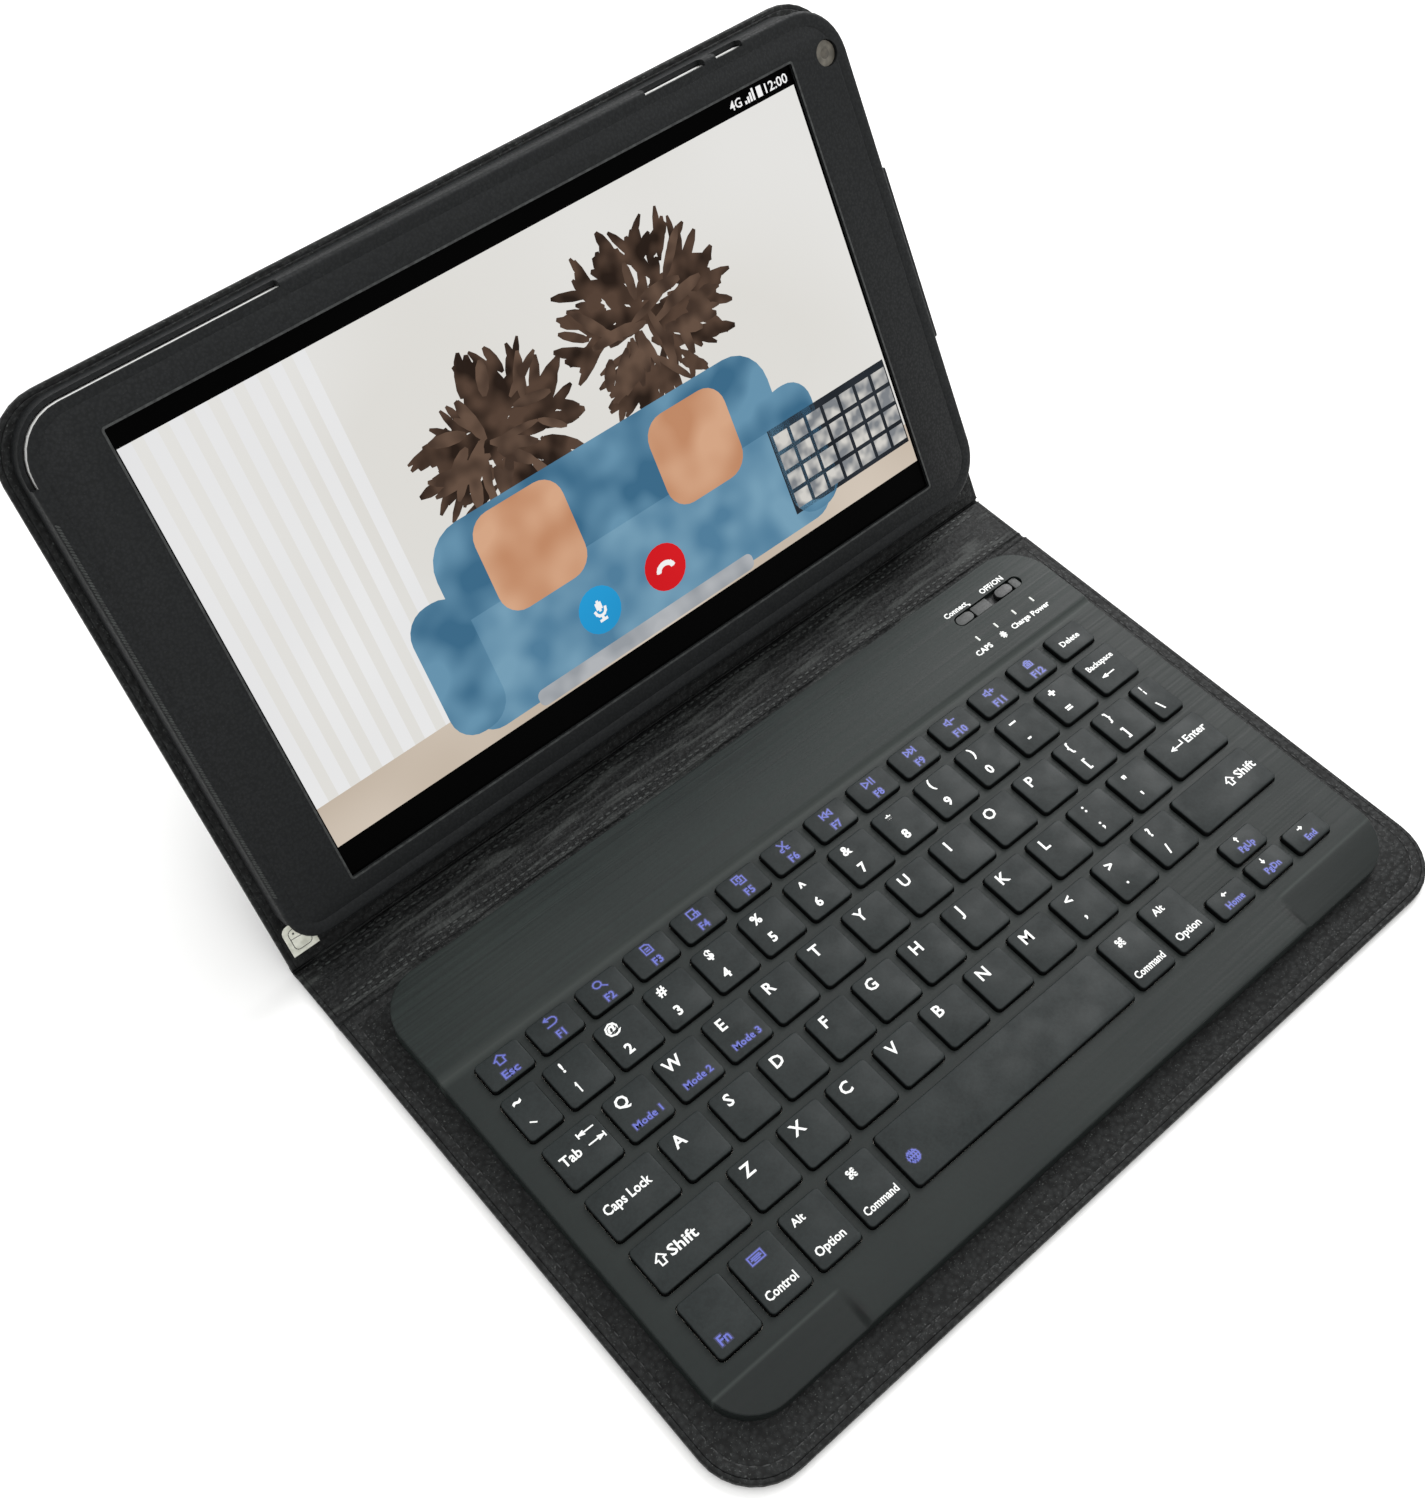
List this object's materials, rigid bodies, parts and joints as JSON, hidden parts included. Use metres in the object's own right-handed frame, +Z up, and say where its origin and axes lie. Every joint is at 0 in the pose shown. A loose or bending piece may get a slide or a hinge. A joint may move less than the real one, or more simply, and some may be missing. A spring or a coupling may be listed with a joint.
{
  "type": "tablet keyboard case",
  "caption": "Folio case with a wireless keyboard on its lower panel and a tablet in a framed holder on its lid, which leans on a fold-out stand leg.",
  "frame": {"origin": "centre of the lower panel's underside, on the surface that the case stands on", "axes": "+X to the typist's right, +Y back towards the spine and the lid, +Z up"},
  "size_m": [0.266, 0.2792, 0.1478],
  "materials": {
    "leatherette": "pebbled, satin black",
    "lining": "fine grain, satin black",
    "holder_leatherette": "fine grain, satin black",
    "board": "grey-brown stiffening board",
    "foam_tape": "white double-sided foam tape",
    "deck_plastic": "moulded, matt, rear band brushed",
    "black_plastic": "moulded, matt",
    "key_plastic": "moulded, matt, printed legends",
    "steel": "plated",
    "clear_film": "translucent",
    "dome_rubber": "silicone, natural",
    "natural_plastic": "moulded, natural",
    "circuit_board": "solder-masked",
    "battery_foil": "foil pouch",
    "tablet_white": "moulded, satin white",
    "tablet_glass": "polished, black border",
    "screen": "lit display",
    "camera_lens": "dark window"
  },
  "bodies": {
    "base": {"lower_skin": "leatherette", "lower_board": "board", "lower_lining": "lining", "front_crease_strip": "leatherette", "adhesive_pads": "foam_tape", "keyboard_bottom_case": "black_plastic", "keyboard_top_case": "deck_plastic", "key_backplate": "steel", "key_membrane": "clear_film", "key_dome_sheet": "dome_rubber", "key_scissor_links": "natural_plastic", "circuit_board": "circuit_board", "battery": "battery_foil", "charge_socket": "steel", "switch_carrier": "black_plastic", "indicator_lenses": "clear_film", "case_screws": "steel"},
    "spine": {"spine_skin": "leatherette", "spine_board": "board", "spine_lining": "lining", "rear_crease_strip": "leatherette"},
    "lid": {"lid_skin": "leatherette", "lid_board": "board", "lid_lining": "lining", "holder_frame": "holder_leatherette", "holder_top_wall": "holder_leatherette", "holder_left_wall": "holder_leatherette", "holder_bottom_wall": "holder_leatherette", "retaining_flap": "holder_leatherette"},
    "stand_leg": {"stand_skin": "leatherette", "stand_board": "board", "stand_lining": "lining"},
    "tablet": {"tablet_shell": "tablet_white", "tablet_glass": "tablet_glass", "tablet_display": "screen", "tablet_battery": "battery_foil", "tablet_board": "circuit_board", "tablet_camera": "camera_lens"},
    "volume_key": {"tablet_volume_key": "tablet_white"},
    "power_key": {"tablet_power_key": "tablet_white"},
    "power_switch": {"power_switch_knob": "black_plastic"},
    "connect": {"connect_button": "deck_plastic"},
    "escape_key": {"escape_key": "key_plastic"},
    "function_keys": {"function_keys": "key_plastic"},
    "delete_key": {"delete_key": "key_plastic"},
    "number_keys": {"number_keys": "key_plastic"},
    "backspace_key": {"backspace_key": "key_plastic"},
    "tab_key": {"tab_key": "key_plastic"},
    "top_letter_keys": {"top_letter_keys": "key_plastic"},
    "caps_lock_key": {"caps_lock_key": "key_plastic"},
    "home_letter_keys": {"home_letter_keys": "key_plastic"},
    "enter_key": {"enter_key": "key_plastic"},
    "left_shift_key": {"left_shift_key": "key_plastic"},
    "lower_letter_keys": {"lower_letter_keys": "key_plastic"},
    "right_shift_key": {"right_shift_key": "key_plastic"},
    "left_modifier_keys": {"left_modifier_keys": "key_plastic"},
    "space_bar": {"space_bar": "key_plastic"},
    "right_modifier_keys": {"right_modifier_keys": "key_plastic"},
    "arrow_keys": {"arrow_keys": "key_plastic"}
  },
  "joints": [
    {"name": "spine_fold", "type": "hinge", "parent": "base", "child": "spine", "pos_m": [0, 0.08275, 0.0007], "axis": [1, 0, 0], "range_deg": [0, 90], "deforming": ["front_crease_strip"]},
    {"name": "lid_fold", "type": "hinge", "parent": "spine", "child": "lid", "pos_m": [0, 0.10405, 0.0007], "axis": [1, 0, 0], "range_deg": [-58.56, 31.44], "deforming": ["rear_crease_strip"]},
    {"name": "stand_fold", "type": "hinge", "parent": "lid", "child": "stand_leg", "pos_m": [0, 0.15889, 0.08907], "axis": [1, 0, 0], "range_deg": [-54.44, 0]},
    {"name": "tablet_slide", "type": "slide", "parent": "lid", "child": "tablet", "axis": [1, 0, 0], "range_m": [0, 0.262], "deforming": ["retaining_flap"]},
    {"name": "volume_key_press", "type": "slide", "parent": "tablet", "child": "volume_key", "axis": [0, -0.5216, -0.8532], "range_m": [0, 0.0004], "stiffness_N_per_m": 4000},
    {"name": "power_key_press", "type": "slide", "parent": "tablet", "child": "power_key", "axis": [0, -0.5216, -0.8532], "range_m": [0, 0.0004], "stiffness_N_per_m": 4000},
    {"name": "connect_press", "type": "slide", "parent": "base", "child": "connect", "axis": [0, 0, -1], "range_m": [0, 0.0005], "stiffness_N_per_m": 3000},
    {"name": "power_switch_slide", "type": "slide", "parent": "base", "child": "power_switch", "axis": [-1, 0, 0], "range_m": [0, 0.0025]},
    {"name": "escape_press", "type": "slide", "parent": "base", "child": "escape_key", "axis": [0, 0, -1], "range_m": [0, 0.0015], "stiffness_N_per_m": 400},
    {"name": "function_press", "type": "slide", "parent": "base", "child": "function_keys", "axis": [0, 0, -1], "range_m": [0, 0.0015], "stiffness_N_per_m": 4800},
    {"name": "delete_press", "type": "slide", "parent": "base", "child": "delete_key", "axis": [0, 0, -1], "range_m": [0, 0.0015], "stiffness_N_per_m": 400},
    {"name": "number_press", "type": "slide", "parent": "base", "child": "number_keys", "axis": [0, 0, -1], "range_m": [0, 0.0015], "stiffness_N_per_m": 5200},
    {"name": "backspace_press", "type": "slide", "parent": "base", "child": "backspace_key", "axis": [0, 0, -1], "range_m": [0, 0.0015], "stiffness_N_per_m": 400},
    {"name": "tab_press", "type": "slide", "parent": "base", "child": "tab_key", "axis": [0, 0, -1], "range_m": [0, 0.0015], "stiffness_N_per_m": 400},
    {"name": "top_letter_press", "type": "slide", "parent": "base", "child": "top_letter_keys", "axis": [0, 0, -1], "range_m": [0, 0.0015], "stiffness_N_per_m": 5200},
    {"name": "caps_lock_press", "type": "slide", "parent": "base", "child": "caps_lock_key", "axis": [0, 0, -1], "range_m": [0, 0.0015], "stiffness_N_per_m": 400},
    {"name": "home_letter_press", "type": "slide", "parent": "base", "child": "home_letter_keys", "axis": [0, 0, -1], "range_m": [0, 0.0015], "stiffness_N_per_m": 4400},
    {"name": "enter_press", "type": "slide", "parent": "base", "child": "enter_key", "axis": [0, 0, -1], "range_m": [0, 0.0015], "stiffness_N_per_m": 400},
    {"name": "left_shift_press", "type": "slide", "parent": "base", "child": "left_shift_key", "axis": [0, 0, -1], "range_m": [0, 0.0015], "stiffness_N_per_m": 400},
    {"name": "lower_letter_press", "type": "slide", "parent": "base", "child": "lower_letter_keys", "axis": [0, 0, -1], "range_m": [0, 0.0015], "stiffness_N_per_m": 4000},
    {"name": "right_shift_press", "type": "slide", "parent": "base", "child": "right_shift_key", "axis": [0, 0, -1], "range_m": [0, 0.0015], "stiffness_N_per_m": 400},
    {"name": "left_modifier_press", "type": "slide", "parent": "base", "child": "left_modifier_keys", "axis": [0, 0, -1], "range_m": [0, 0.0015], "stiffness_N_per_m": 1600},
    {"name": "space_bar_press", "type": "slide", "parent": "base", "child": "space_bar", "axis": [0, 0, -1], "range_m": [0, 0.0015], "stiffness_N_per_m": 400},
    {"name": "right_modifier_press", "type": "slide", "parent": "base", "child": "right_modifier_keys", "axis": [0, 0, -1], "range_m": [0, 0.0015], "stiffness_N_per_m": 800},
    {"name": "arrow_press", "type": "slide", "parent": "base", "child": "arrow_keys", "axis": [0, 0, -1], "range_m": [0, 0.0015], "stiffness_N_per_m": 1600}
  ]
}
